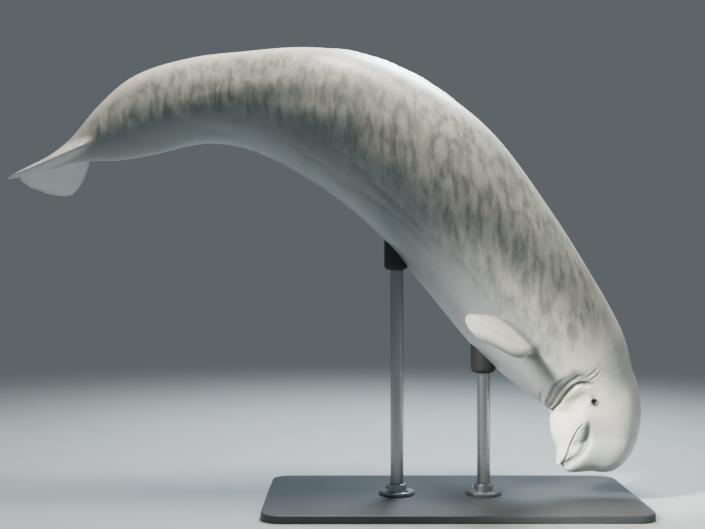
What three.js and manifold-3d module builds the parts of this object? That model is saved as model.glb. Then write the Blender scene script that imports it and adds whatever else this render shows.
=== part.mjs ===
// A beluga whale, life size, as a still museum model on a plain display stand.
// Millimetres, +Z up, +X towards the whale's head. Its right side faces -Y.
//
// The body is first described straight, as a point (u, y, w):
// u is the distance back from the tip of the beak, y is to the whale's left and w is towards its back.
// One function, place(), then lays those points along the bent backbone.

import * as THREE from 'three';
import { mergeVertices } from 'three/addons/utils/BufferGeometryUtils.js';
import Module from 'manifold-3d';

const wasm = await Module();
wasm.setup();

// Driving dimensions
const LENGTH = 3870; // tip of the beak to the rear edge of the flukes, along the backbone
const GAP = 0.3; // between two pieces that touch
const SNOUT = { x: 1215, z: 153 }; // where the backbone's line leaves the front of the head
const RADIANS = Math.PI / 180;

// The dive: how the backbone points, in degrees above level, at each fraction of the length.
const HEADING = [
  [0, -109],
  [0.06, -103],
  [0.103, -74],
  [0.145, -53.5],
  [0.2, -55],
  [0.3, -54],
  [0.4, -45],
  [0.5, -35],
  [0.6, -17.5],
  [0.7, -1],
  [0.78, 14],
  [0.86, 24],
  [0.93, 27.5],
  [1, 22],
];

// How far the head turns to its right, in degrees
const TURN = [
  [0, 9],
  [0.07, 8],
  [0.13, 3],
  [0.2, 0],
];

// How far the tail rolls its right side up, in degrees
const ROLL = [
  [0.6, 0],
  [0.8, 2],
  [1, 3.2],
];

// Height of the back above the backbone's line, depth of the belly below it and half width,
// each as a fraction of the length.
const BACK = [
  [0.06, 0.043],
  [0.1, 0.053],
  [0.15, 0.072],
  [0.226, 0.081],
  [0.33, 0.086],
  [0.436, 0.096],
  [0.58, 0.085],
  [0.69, 0.062],
  [0.75, 0.0575],
  [0.82, 0.053],
  [0.87, 0.0355],
  [0.92, 0.0132],
  [0.985, 0.0015],
];
const BELLY = [
  [0.06, 0.048],
  [0.1, 0.0605],
  [0.15, 0.0705],
  [0.226, 0.0895],
  [0.33, 0.097],
  [0.436, 0.093],
  [0.58, 0.083],
  [0.69, 0.06],
  [0.75, 0.052],
  [0.82, 0.049],
  [0.87, 0.039],
  [0.92, 0.0175],
  [0.985, 0.0015],
];
const HALF_WIDTH = [
  [0.06, 0.043],
  [0.1, 0.05],
  [0.15, 0.068],
  [0.226, 0.081],
  [0.33, 0.087],
  [0.436, 0.086],
  [0.58, 0.07],
  [0.69, 0.047],
  [0.75, 0.037],
  [0.82, 0.027],
  [0.87, 0.019],
  [0.92, 0.012],
  [0.985, 0.0015],
];

// The lobes of the head: centre and half sizes along u, y and w, how softly each blends in,
// and how far the lobe leans, as millimetres forward for each millimetre down.
const FOREHEAD = [
  { at: [244, 0, 90], half: [208, 150, 134], blend: 60 }, // melon
  { at: [117, 0, -12], half: [118, 112, 92], blend: 90, lean: 0.5 }, // front of the melon
];
const BEAK = [
  { at: [228, 0, -84], half: [152, 126, 110], blend: 30 }, // beak
  { at: [88, 0, -82], half: [84, 76, 45], blend: 30 }, // its tip
  { at: [18, 0, -102], half: [20, 34, 12], blend: 12 }, // lower lip
];
const SKULL = [
  { at: [350, 0, 20], half: [222, 184, 184], blend: 60 }, // skull
  { at: [385, 0, -85], half: [150, 135, 145], blend: 30 }, // throat
  { at: [290, 0, -78], half: [170, 172, 94], blend: 50 }, // cheeks
];
const CREASE = 22; // how softly the melon meets the beak
const BROW = 70; // and the skull

// The fold behind the jaw: its distance back at each angle up from the side of the body
const JAW_FOLD = [
  [-90, 262],
  [-75, 312],
  [-58, 378],
  [-38, 457],
  [-24, 488],
  [-16, 487],
  [-8, 466],
  [4, 436],
];
const JAW_RADIUS = 220; // half the width of the body there
const FOLD = { depth: 13, wide: 20 };
const HOLLOW = { depth: 8, behind: 34, wide: 36 };
const JOWL = { high: 6, before: 42, wide: 28 };

// The crease between melon and beak: its height at each distance back
const MELON_EDGE = [
  [0, -93],
  [22, -86],
  [45, -68],
  [75, -51],
  [107, -41],
  [167, -40],
  [228, -52],
  [262, -60],
];
const MELON_CREASE = { depth: 13, wide: 18, from: 170, to: 262 };

// A smooth curve through a few points, given as a function of their first number.
function profile(points) {
  const last = points.length - 1;
  const slope = points.map((_, i) => {
    const a = points[Math.max(i - 1, 0)];
    const b = points[Math.min(i + 1, last)];
    return (b[1] - a[1]) / (b[0] - a[0]);
  });
  return (x) => {
    if (x <= points[0][0]) return points[0][1];
    if (x >= points[last][0]) return points[last][1];
    let i = 0;
    while (x > points[i + 1][0]) i += 1;
    const [x0, y0] = points[i];
    const [x1, y1] = points[i + 1];
    const step = x1 - x0;
    const t = (x - x0) / step;
    const rise = y1 - y0;
    const bend = t * (1 - t) * (step * (slope[i] * (1 - t) - slope[i + 1] * t) + rise * (2 * t - 1));
    return y0 + rise * t + bend;
  };
}

const heading = profile(HEADING);
const turn = profile(TURN);
const roll = profile(ROLL);
const backHeight = profile(BACK);
const bellyDepth = profile(BELLY);
const halfWidth = profile(HALF_WIDTH);
const jawFold = profile(JAW_FOLD);
const melonEdge = profile(MELON_EDGE);

// The whale's own directions at a fraction of its length: forward, left and up
function directions(fraction) {
  const pitch = heading(fraction) * RADIANS;
  const swing = turn(fraction) * RADIANS;
  const lean = roll(fraction) * RADIANS;
  const level = new THREE.Vector3(Math.cos(pitch), 0, Math.sin(pitch));
  const across = new THREE.Vector3(0, 1, 0);
  const steep = new THREE.Vector3(-Math.sin(pitch), 0, Math.cos(pitch));
  const mix = (p, q, angle) => p.clone().multiplyScalar(Math.cos(angle)).addScaledVector(q, Math.sin(angle));
  const forward = mix(level, across, -swing);
  const left = mix(across, level, swing);
  return { forward, left: mix(left, steep, -lean), up: mix(steep, left, lean) };
}

// The backbone's line, summed up over short steps back from the snout and then moved sideways, so that
// the tail lies on the middle plane.
const STEPS = 600;
const STEP = LENGTH / STEPS;
const backbone = [new THREE.Vector3(SNOUT.x, 0, SNOUT.z)];
for (let i = 0; i < STEPS; i += 1) {
  backbone.push(backbone[i].clone().addScaledVector(directions((i + 0.5) / STEPS).forward, -STEP));
}
const tailY = backbone[STEPS].y;
for (const point of backbone) point.y -= tailY;

// A point of the straight body, laid along the backbone.
function place([u, y, w]) {
  const along = Math.min(Math.max(u, 0), LENGTH);
  const i = Math.min(Math.floor(along / STEP), STEPS - 1);
  const { forward, left, up } = directions(along / LENGTH);
  return backbone[i].clone().lerp(backbone[i + 1], along / STEP - i)
    .addScaledVector(forward, along - u)
    .addScaledVector(left, y)
    .addScaledVector(up, w);
}

// Distance to an ellipsoid, near enough for blending
function ellipsoid([u, y, w], { at, half, lean = 0 }) {
  const d = [u - at[0] - lean * (w - at[2]), y - at[1], w - at[2]];
  const k0 = Math.hypot(d[0] / half[0], d[1] / half[1], d[2] / half[2]);
  const k1 = Math.hypot(d[0] / half[0] ** 2, d[1] / half[1] ** 2, d[2] / half[2] ** 2);
  return k1 === 0 ? -Math.min(...half) : (k0 * (k0 - 1)) / k1;
}

// Joins two distances with a fillet of the given size.
function blend(a, b, size) {
  const h = Math.max(size - Math.abs(a - b), 0) / size;
  return Math.min(a, b) - h * h * size * 0.25;
}

// Distance to the trunk, from the neck to the flukes: an oval section that narrows to a keel, above
// and below, towards the tail.
const TRUNK_START = 260;
const TRUNK_ROUND = 190; // length of its rounded front end, which the skull hides
const OVAL = 2.15; // power of the section: 2 is an ellipse
const KEELED = 1.75; // the same where the tail is narrowest
const KEEL_FROM = 0.6;
const KEEL_FULL = 0.85;
function trunk([u, y, w]) {
  const s = u / LENGTH;
  const high = (w > 0 ? backHeight(s) : bellyDepth(s)) * LENGTH;
  const wide = halfWidth(s) * LENGTH;
  const power = THREE.MathUtils.lerp(OVAL, KEELED, THREE.MathUtils.smoothstep(s, KEEL_FROM, KEEL_FULL));
  const section = (Math.abs(y / wide) ** power + Math.abs(w / high) ** power) ** (1 / power);
  const front = Math.max(TRUNK_START + TRUNK_ROUND - u, 0) / TRUNK_ROUND;
  return (Math.hypot(section, front) - 1) * Math.min(high, wide);
}

function lobes(point, list, first) {
  let distance = first;
  for (const lobe of list) distance = blend(distance, ellipsoid(point, lobe), lobe.blend);
  return distance;
}

// A soft bell: 1 in the middle and almost 0 at twice its width
const bell = (x, width) => Math.exp(-((x / width) ** 2));

// How deep the fold behind the jaw and the crease over the beak lie at a point
function folds([u, y, w]) {
  const around = Math.atan2(w, Math.abs(y)) / RADIANS;
  const slope = (jawFold(around + 1) - jawFold(around - 1)) / (2 * RADIANS * JAW_RADIUS);
  const behind = (u - jawFold(around)) / Math.hypot(1, slope);
  const fade = 1 - THREE.MathUtils.smoothstep(around, -14, 4);
  const valley = FOLD.depth * bell(behind, FOLD.wide);
  const hollow = HOLLOW.depth * bell(behind - HOLLOW.behind, HOLLOW.wide);
  const jowl = JOWL.high * bell(behind + JOWL.before, JOWL.wide);
  const creaseFade = 1 - THREE.MathUtils.smoothstep(u, MELON_CREASE.from, MELON_CREASE.to);
  const crease = MELON_CREASE.depth * bell(w - melonEdge(u), MELON_CREASE.wide);
  return (valley + hollow - jowl) * fade + crease * creaseFade;
}

// Distance to the whole body, without its fins. The melon meets the beak in a crease that grows softer
// from the beak's root back.
const HEAD_END = 840; // no lobe or fold reaches further back
const BEAK_ROOT = 120;
const MELON_BACK = 340;
function body(point) {
  if (point[0] > HEAD_END) return trunk(point);
  const skull = lobes(point, SKULL, trunk(point));
  const rest = lobes(point, BEAK, skull);
  const forehead = lobes(point, FOREHEAD, FARTHEST);
  const back = THREE.MathUtils.smoothstep(point[0], BEAK_ROOT, MELON_BACK);
  const soft = THREE.MathUtils.lerp(CREASE, BROW, back);
  return blend(rest, forehead, soft) + folds(point);
}

// Where a ray from a point inside meets the skin moved out by grow: long strides, then halvings
const FARTHEST = 900;
const STRIDE = 5;
const HALVINGS = 22;
function reach(from, towards, grow) {
  const at = (r) => from.map((c, i) => c + towards[i] * r);
  let near = 0;
  let far = STRIDE;
  while (body(at(far)) < grow && far < FARTHEST) {
    near = far;
    far += STRIDE;
  }
  for (let i = 0; i < HALVINGS; i += 1) {
    const middle = (near + far) / 2;
    if (body(at(middle)) < grow) near = middle;
    else far = middle;
  }
  return at((near + far) / 2);
}

// A closed solid from rings of points, each end closed by a fan round its middle.
function ringSolid(rings, frontPoint, backPoint) {
  const around = rings[0].length;
  const corners = [frontPoint, ...rings.flat(), backPoint];
  const faces = [];
  const corner = (i, j) => 1 + i * around + (j % around);
  const end = corners.length - 1;
  for (let j = 0; j < around; j += 1) {
    faces.push(0, corner(0, j + 1), corner(0, j));
    for (let i = 0; i < rings.length - 1; i += 1) {
      faces.push(corner(i, j), corner(i, j + 1), corner(i + 1, j + 1));
      faces.push(corner(i, j), corner(i + 1, j + 1), corner(i + 1, j));
    }
    faces.push(end, corner(rings.length - 1, j), corner(rings.length - 1, j + 1));
  }
  const geometry = new THREE.BufferGeometry();
  geometry.setAttribute('position', new THREE.Float32BufferAttribute(corners.flatMap((c) => c.toArray()), 3));
  geometry.setIndex(faces);
  if (volume(geometry) < 0) {
    for (let i = 0; i < faces.length; i += 3) [faces[i], faces[i + 1]] = [faces[i + 1], faces[i]];
    geometry.setIndex(faces);
  }
  return geometry;
}

function volume(geometry) {
  const { array } = geometry.getAttribute('position');
  const index = geometry.getIndex().array;
  let sum = 0;
  for (let i = 0; i < index.length; i += 3) {
    const [a, b, c] = [0, 1, 2].map((k) => new THREE.Vector3().fromArray(array, index[i + k] * 3));
    sum += a.dot(b.cross(c)) / 6;
  }
  return sum;
}

function middleOf(points) {
  const sum = new THREE.Vector3();
  for (const p of points) sum.add(p);
  return sum.divideScalar(points.length);
}

// Joining and cutting
function solid(geometry) {
  const plain = geometry.clone();
  plain.deleteAttribute('normal');
  plain.deleteAttribute('uv');
  const merged = mergeVertices(plain, 1e-3);
  return new wasm.Manifold(new wasm.Mesh({
    numProp: 3,
    vertProperties: new Float32Array(merged.getAttribute('position').array),
    triVerts: new Uint32Array(merged.getIndex().array),
  }));
}

function largest(manifold) {
  return manifold.decompose().sort((a, b) => b.volume() - a.volume())[0];
}

function toGeometry(manifold) {
  const mesh = largest(manifold).getMesh();
  const geometry = new THREE.BufferGeometry();
  geometry.setAttribute('position', new THREE.BufferAttribute(mesh.vertProperties, 3));
  geometry.setIndex(new THREE.BufferAttribute(mesh.triVerts, 1));
  return geometry;
}

// One length of the body, from u0 back to u1, moved out by grow on every side.
function bodyLength(u0, u1, rings, around, grow = 0) {
  const list = [];
  for (let i = 0; i <= rings; i += 1) {
    const u = u0 - grow + ((u1 - u0 + 2 * grow) * i) / rings;
    list.push(section(u, around, grow));
  }
  return ringSolid(list, place([u0 - grow, 0, 0]), place([u1 + grow, 0, 0]));
}

function section(u, around, grow) {
  const ring = [];
  for (let j = 0; j < around; j += 1) {
    const angle = (j / around) * 2 * Math.PI;
    ring.push(place(reach([u, 0, 0], [0, Math.cos(angle), Math.sin(angle)], grow)));
  }
  return ring;
}

// The head: rays spread from one point inside it over the front, then plain sections back to u1.
const HEAD_CENTRE = 215;
function headSolid(u1, around, grow = 0) {
  const caps = Math.round(around / 4);
  const rings = [];
  const from = [HEAD_CENTRE, 0, -5];
  const frontPoint = place(reach(from, [-1, 0, 0], grow));
  for (let i = 1; i <= caps; i += 1) {
    const lean = (i / caps) * (Math.PI / 2);
    const ring = [];
    for (let j = 0; j < around; j += 1) {
      const angle = (j / around) * 2 * Math.PI;
      const out = [-Math.cos(lean), Math.sin(lean) * Math.cos(angle), Math.sin(lean) * Math.sin(angle)];
      ring.push(place(reach(from, out, grow)));
    }
    rings.push(ring);
  }
  const more = Math.round(around / 5);
  for (let i = 1; i <= more; i += 1) {
    rings.push(section(HEAD_CENTRE + ((u1 + grow - HEAD_CENTRE) * i) / more, around, grow));
  }
  return ringSolid(rings, frontPoint, place([u1 + grow, 0, 0]));
}

// Where the body is parted, as fractions of the length
const NECK_FROM = 0.135;
const THORAX_FROM = 0.168;
const ABDOMEN_FROM = 0.38;
const LOIN_FROM = 0.63;
const STOCK_FROM = 0.78;

const HALF_GAP = GAP / 2;
const STOCK_TO = 0.985; // the tail stock ends inside the flukes, ahead of the notch between them
const cut = (s) => s * LENGTH;
const lengths = {
  neck: [cut(NECK_FROM) + HALF_GAP, cut(THORAX_FROM) - HALF_GAP, 3, 48],
  thorax: [cut(THORAX_FROM) + HALF_GAP, cut(ABDOMEN_FROM) - HALF_GAP, 12, 40],
  abdomen: [cut(ABDOMEN_FROM) + HALF_GAP, cut(LOIN_FROM) - HALF_GAP, 14, 40],
  loin: [cut(LOIN_FROM) + HALF_GAP, cut(STOCK_FROM) - HALF_GAP, 9, 36],
  tail_stock: [cut(STOCK_FROM) + HALF_GAP, cut(STOCK_TO), 16, 32],
};

// Flippers: a broad paddle with a thick front edge and a tip that curls up.
const FLIPPER = { length: 490, width: 204, thick: 49, curl: 13, rootS: 0.1954, rootW: -0.4, inset: 58 };
const FLIPPER_WAY = { right: [276, 180, 275], left: [245, 152, 322] }; // back, down and out
const FLIPPER_TWIST = 51; // how far its front edge is turned down
const flipperWidth = profile([
  [0, 0.38],
  [0.12, 0.46],
  [0.28, 0.88],
  [0.42, 1.06],
  [0.55, 1],
  [0.7, 0.86],
  [0.85, 0.7],
  [0.95, 0.5],
  [1, 0.2],
]);
const flipperThick = profile([
  [0, 1.15],
  [0.15, 1],
  [0.35, 0.8],
  [0.55, 0.58],
  [0.8, 0.38],
  [1, 0.16],
]);

function flipper(side) {
  const u = FLIPPER.rootS * LENGTH;
  const rootW = FLIPPER.rootW * bellyDepth(FLIPPER.rootS) * LENGTH;
  const skin = reach([u, 0, rootW], [0, side, 0], 0);
  const [back, down, out] = side > 0 ? FLIPPER_WAY.left : FLIPPER_WAY.right;
  const span = new THREE.Vector3(back, side * out, -down).normalize();
  const flat = new THREE.Vector3(back, 0, -down).normalize();
  const lead0 = new THREE.Vector3(flat.z, 0, -flat.x);
  const turned = new THREE.Vector3().crossVectors(span, lead0).multiplyScalar(side);
  const twist = FLIPPER_TWIST * RADIANS;
  const lead = lead0.clone().multiplyScalar(Math.cos(twist)).addScaledVector(turned, Math.sin(twist));
  const up = new THREE.Vector3().crossVectors(span, lead).multiplyScalar(-side);
  const root = new THREE.Vector3(skin[0], skin[1] - side * FLIPPER.inset, skin[2]);
  const rings = [];
  const count = 14;
  const around = 18;
  for (let i = 0; i <= count; i += 1) {
    const t = Math.sin((i / count) * (Math.PI / 2));
    const half = (flipperWidth(t) * FLIPPER.width) / 2;
    const thick = (flipperThick(t) * FLIPPER.thick) / 2;
    const lift = FLIPPER.curl * t ** 3;
    const ring = [];
    for (let j = 0; j < around; j += 1) {
      const angle = (j / around) * 2 * Math.PI;
      const q = half * Math.cos(angle);
      const h = thick * Math.sin(angle) * (1 + 0.4 * Math.cos(angle)) + lift;
      const middle = root.clone().addScaledVector(span, t * FLIPPER.length);
      ring.push(place(middle.addScaledVector(lead, q).addScaledVector(up, h).toArray()));
    }
    rings.push(ring);
  }
  return ringSolid(rings, middleOf(rings[0]), middleOf(rings[count]));
}

// Flukes: two lobes with a swept front edge and a rear edge that bulges past the notch.
const FLUKE = { from: 0.89, half: 0.107, thick: 52, droop: 13 };
const flukeFront = profile([
  [0, -0.1],
  [0.12, 0.05],
  [0.3, 0.165],
  [0.55, 0.32],
  [0.78, 0.47],
  [0.92, 0.61],
  [1, 0.72],
]);
const flukeRear = profile([
  [0, 0.965],
  [0.1, 0.995],
  [0.3, 0.995],
  [0.55, 0.945],
  [0.78, 0.885],
  [0.92, 0.81],
  [1, 0.74],
]);
const flukeThick = profile([
  [0, 1.4],
  [0.12, 0.98],
  [0.4, 0.66],
  [0.8, 0.35],
  [1, 0.16],
]);

function fluke(side) {
  const chord = (1 - FLUKE.from) * LENGTH;
  const span = FLUKE.half * LENGTH;
  const rings = [];
  const count = 13;
  const around = 18;
  for (let i = 0; i <= count; i += 1) {
    const t = Math.sin((i / count) * (Math.PI / 2));
    const front = flukeFront(t) * chord;
    const rear = flukeRear(t) * chord;
    const thick = (flukeThick(t) * FLUKE.thick) / 2;
    const droop = FLUKE.droop * RADIANS;
    const ring = [];
    for (let j = 0; j < around; j += 1) {
      const angle = (j / around) * 2 * Math.PI;
      const u = FLUKE.from * LENGTH + (front + rear) / 2 - ((rear - front) / 2) * Math.cos(angle);
      const h = thick * Math.sin(angle) * (1 + 0.5 * Math.cos(angle));
      const y = Math.max(t * span * Math.cos(droop) + h * Math.sin(droop), HALF_GAP);
      const w = -t * span * Math.sin(droop) + h * Math.cos(droop);
      ring.push(place([u, side * y, w]));
    }
    rings.push(ring);
  }
  return ringSolid(rings, middleOf(rings[0]), middleOf(rings[count]));
}

// A solid swept through four-cornered sections of the straight body, each a list of points
const swept = (sections) => {
  const rings = sections.map((points) => points.map(place));
  return solid(ringSolid(rings, middleOf(rings[0]), middleOf(rings.at(-1))));
};

// The line of the mouth, as height at each distance back, from the tip of the beak to its corner
const MOUTH = [
  [-40, -102],
  [0, -100],
  [50, -96],
  [110, -96],
  [160, -96],
  [195, -91],
  [222, -79],
];
const MOUTH_CORNER = 222;
const JAW_BACK = 300; // where the jaw's rear cut reaches the throat
const mouthLine = profile(MOUTH);
const steps = (from, to, count) => Array.from({ length: count + 1 }, (_, i) => {
  return from + ((to - from) * i) / count;
});

// All that lies under the line of the mouth, back to a slanting cut behind its corner
const DEEP = -260;
const WIDE = 260;
const plank = (u, high, low) => [[u, WIDE, high], [u, -WIDE, high], [u, -WIDE, low], [u, WIDE, low]];
function underMouth(grow) {
  const top = (u) => {
    if (u <= MOUTH_CORNER) return mouthLine(u) + grow;
    const t = (u - MOUTH_CORNER) / (JAW_BACK - MOUTH_CORNER);
    return THREE.MathUtils.lerp(mouthLine(MOUTH_CORNER) + grow, DEEP + 1, t);
  };
  const back = grow * 3;
  const at = [...steps(-40, MOUTH_CORNER, 12), ...steps(MOUTH_CORNER + back, JAW_BACK + back, 2)];
  return swept(at.map((u) => {
    const high = top(u > MOUTH_CORNER ? u - back : u);
    return plank(u, high, DEEP);
  }));
}

// The groove between the lips
const LIPS = { wide: 7, deep: 9 };
function mouthGroove({ wide, deep }) {
  const slot = swept(steps(-30, MOUTH_CORNER + 6, 12).map((u) => {
    const middle = mouthLine(u);
    const half = (wide / 2) * Math.min(1, (MOUTH_CORNER + 8 - u) / 40);
    return plank(u, middle + half, middle - half);
  }));
  return slot.subtract(solid(headSolid(cut(NECK_FROM) + 20, 48, -deep)));
}

// Blowhole: a crescent slit, its ends pointing forward
const BLOWHOLE = { u: 405, radius: 36, wide: 9, deep: 20, half: 78 };
const CLEAR = 40; // how far the cut stands over the skin
function blowhole() {
  const top = reach([BLOWHOLE.u, 0, 0], [0, 0, 1], 0)[2];
  return swept(steps(-BLOWHOLE.half, BLOWHOLE.half, 12).map((degrees) => {
    const angle = degrees * RADIANS;
    const half = (BLOWHOLE.wide / 2) * Math.cos(angle * 0.9) + 0.8;
    const spot = (r, w) => [BLOWHOLE.u - BLOWHOLE.radius + r * Math.cos(angle), r * Math.sin(angle), w];
    const outer = BLOWHOLE.radius + half;
    const inner = BLOWHOLE.radius - half;
    const high = top + CLEAR;
    const low = top - BLOWHOLE.deep;
    return [spot(outer, high), spot(inner, high), spot(inner, low), spot(outer, low)];
  }));
}

// Eyes: each a ball set deep in the side of the head, with lids that leave a slit open
const EYE_AT = { u: 357, w: -32 };
const EYE = { radius: 23, lid: 5, depth: 17, slitLong: 34, slitHigh: 23 };

function eyeCentre(side) {
  const [u, y, w] = reach([EYE_AT.u, 0, EYE_AT.w], [0, side, 0], 0);
  return [u, y - side * EYE.depth, w];
}

function ball(radius, centre, across, high) {
  const geometry = new THREE.SphereGeometry(radius, across, high);
  const middle = place(centre);
  geometry.translate(middle.x, middle.y, middle.z);
  return geometry;
}

function slit(side) {
  const [cu, cy, cw] = eyeCentre(side);
  return swept(steps(-1, 1, 10).map((t) => {
    const u = cu + (t * EYE.slitLong) / 2;
    const half = 0.5 + (EYE.slitHigh / 2) * (1 - t * t);
    const inner = cy + side * 4;
    const outer = cy + side * 90;
    return [[u, inner, cw + half], [u, outer, cw + half], [u, outer, cw - half], [u, inner, cw - half]];
  }));
}

// Ridge along the back, in place of a fin: low and firm
const RIDGE = { from: 0.46, to: 0.615, high: 17, half: 34, sunk: 14 };
const RIDGE_SHAPE = [[0.72, 0.25], [0.3, 0.8], [0, 1], [-0.3, 0.8], [-0.72, 0.25]];
function ridge(grow) {
  const rings = steps(0, 1, 16).map((t) => {
    const u = (RIDGE.from + (RIDGE.to - RIDGE.from) * t) * LENGTH;
    const full = Math.sqrt(Math.sin(Math.PI * Math.min(Math.max(t, 0.004), 0.996)));
    const high = RIDGE.high * full + grow;
    const half = RIDGE.half * (0.25 + 0.75 * full) + grow;
    const skin = backHeight(u / LENGTH) * LENGTH;
    const low = skin - RIDGE.sunk - grow;
    const crest = RIDGE_SHAPE.map(([y, h]) => place([u, y * half, skin + h * high]));
    const edge = skin - RIDGE.sunk / 2;
    const corner = (y, w) => place([u, y * half, w]);
    return [corner(1, edge), ...crest, corner(-1, edge), corner(-1, low), corner(1, low)];
  });
  return solid(ringSolid(rings, middleOf(rings[0]), middleOf(rings.at(-1))));
}

// Stand: a flat base with round corners and two rods, each with a flange and a pad under the belly
const BASE = { x: 610, long: 1780, wide: 860, thick: 36, corner: 90 };
const ROD = { radius: 32, top: 1500 };
const FLANGE = { radius: 85, thick: 18, neck: 46, neckHigh: 34 };
const PAD = { radius: 62, high: 70 };
const RODS = { front: 770, rear: 350 };

function base() {
  const x = BASE.long / 2 - BASE.corner;
  const y = BASE.wide / 2 - BASE.corner;
  const shape = new THREE.Shape();
  shape.absarc(x, y, BASE.corner, 0, Math.PI / 2);
  shape.absarc(-x, y, BASE.corner, Math.PI / 2, Math.PI);
  shape.absarc(-x, -y, BASE.corner, Math.PI, Math.PI * 1.5);
  shape.absarc(x, -y, BASE.corner, Math.PI * 1.5, Math.PI * 2);
  const bevel = 6;
  const geometry = new THREE.ExtrudeGeometry(shape, {
    depth: BASE.thick - 2 * bevel,
    bevelThickness: bevel,
    bevelSize: bevel,
    bevelOffset: -bevel,
    bevelSegments: 1,
    curveSegments: 6,
  });
  return geometry.translate(BASE.x, 0, bevel);
}

// A round piece about an upright axis at x, from a profile of radius and height
function turned(points, x, segments = 24) {
  const geometry = new THREE.LatheGeometry(points.map(([r, z]) => new THREE.Vector2(r, z)), segments);
  return geometry.rotateX(Math.PI / 2).translate(x, 0, 0);
}

// Height of the belly over a place on the floor
function bellyOver(x) {
  let lowest = Infinity;
  for (const u of steps(cut(THORAX_FROM), cut(LOIN_FROM), 400)) {
    const point = place([u, 0, -bellyDepth(u / LENGTH) * LENGTH]);
    if (Math.abs(point.x - x) < 8) lowest = Math.min(lowest, point.z);
  }
  return lowest;
}

// Colours and finishes
const SKIN = { color: 0xd9dcd2, roughness: 0.55, metalness: 0 };
const DARK_EYE = { color: 0x1c1612, roughness: 0.15, metalness: 0 };
const STEEL = { color: 0x8f9396, roughness: 0.35, metalness: 1 };
const PAINTED = { color: 0x3b3f42, roughness: 0.6, metalness: 0 };
const RUBBER = { color: 0x202224, roughness: 0.8, metalness: 0 };

const whale = new THREE.Group();
function add(name, geometry, finish) {
  const mesh = new THREE.Mesh(geometry, new THREE.MeshStandardMaterial(finish));
  mesh.name = name;
  whale.add(mesh);
}

// Head, with the eyes in their sockets and the lower jaw parted from it
let head = solid(headSolid(cut(NECK_FROM) - HALF_GAP, 54));
head = head.subtract(mouthGroove(LIPS)).subtract(blowhole());
for (const side of [1, -1]) {
  head = head.add(solid(ball(EYE.radius + EYE.lid, eyeCentre(side), 16, 12)));
  head = head.subtract(solid(ball(EYE.radius + GAP, eyeCentre(side), 16, 12)));
  head = head.subtract(slit(side));
}
add('head', toGeometry(head.subtract(underMouth(HALF_GAP))), SKIN);
add('lower_jaw', toGeometry(head.intersect(underMouth(-HALF_GAP))), SKIN);
add('eye_left', ball(EYE.radius, eyeCentre(1), 16, 12), DARK_EYE);
add('eye_right', ball(EYE.radius, eyeCentre(-1), 16, 12), DARK_EYE);

// Trunk and tail
for (const [name, [u0, u1, rings, around]] of Object.entries(lengths)) {
  const piece = solid(bodyLength(u0, u1, rings, around));
  add(name, toGeometry(name === 'abdomen' ? piece.subtract(ridge(GAP)) : piece), SKIN);
}
add('dorsal_ridge', toGeometry(ridge(0)), SKIN);

// Fins
const grown = Object.fromEntries(['thorax', 'abdomen', 'tail_stock'].map((name) => {
  return [name, solid(bodyLength(...lengths[name], GAP))];
}));
for (const [name, side] of [['left', 1], ['right', -1]]) {
  add(`flipper_${name}`, toGeometry(solid(flipper(side)).subtract(grown.thorax)), SKIN);
  add(`fluke_${name}`, toGeometry(solid(fluke(side)).subtract(grown.tail_stock)), SKIN);
}

// Stand
const baseTop = BASE.thick + GAP;
add('stand_base', base(), PAINTED);
for (const [name, x] of Object.entries(RODS)) {
  const belly = bellyOver(x);
  const pad = belly - PAD.high;
  const flangeTop = baseTop + FLANGE.thick;
  const neckTop = flangeTop + FLANGE.neckHigh;
  const inner = ROD.radius + GAP;
  const ring = [
    [inner, baseTop],
    [FLANGE.radius, baseTop],
    [FLANGE.radius, flangeTop - 4],
    [FLANGE.radius - 4, flangeTop],
    [FLANGE.neck, flangeTop],
    [FLANGE.neck, neckTop],
    [inner, neckTop],
    [inner, baseTop],
  ];
  add(`stand_flange_${name}`, turned(ring, x), STEEL);
  const rod = [[0, baseTop], [ROD.radius, baseTop], [ROD.radius, pad - GAP], [0, pad - GAP]];
  add(`stand_rod_${name}`, turned(rod, x), STEEL);
  const cup = [[0, pad], [ROD.radius + 6, pad], [PAD.radius, pad + 30], [PAD.radius, ROD.top], [0, ROD.top]];
  const over = solid(turned(cup, x));
  add(`stand_pad_${name}`, toGeometry(over.subtract(grown.thorax).subtract(grown.abdomen)), RUBBER);
}

// The origin lies on the floor, below the middle of the whole
const box = new THREE.Box3().setFromObject(whale);
whale.position.set(-(box.min.x + box.max.x) / 2, -(box.min.y + box.max.y) / 2, 0);

export default whale;
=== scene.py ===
# %% [markdown]
# A life-size beluga whale on a display stand
#
# A museum whale is made in three steps: a carved form, a mould, and a painted skin. This lesson
# does the same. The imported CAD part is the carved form, with its head, trunk, tail and fins as
# separate solids. Here one smooth skin is laid over all of them, so that no cut shows, and then
# the eyes, the stand, the paint and the light are added.
#
# Everything is in metres, +Z is up, +X points towards the whale's head, and its right side
# faces the camera.

import math

import bpy
import numpy as np
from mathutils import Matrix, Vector, kdtree


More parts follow.
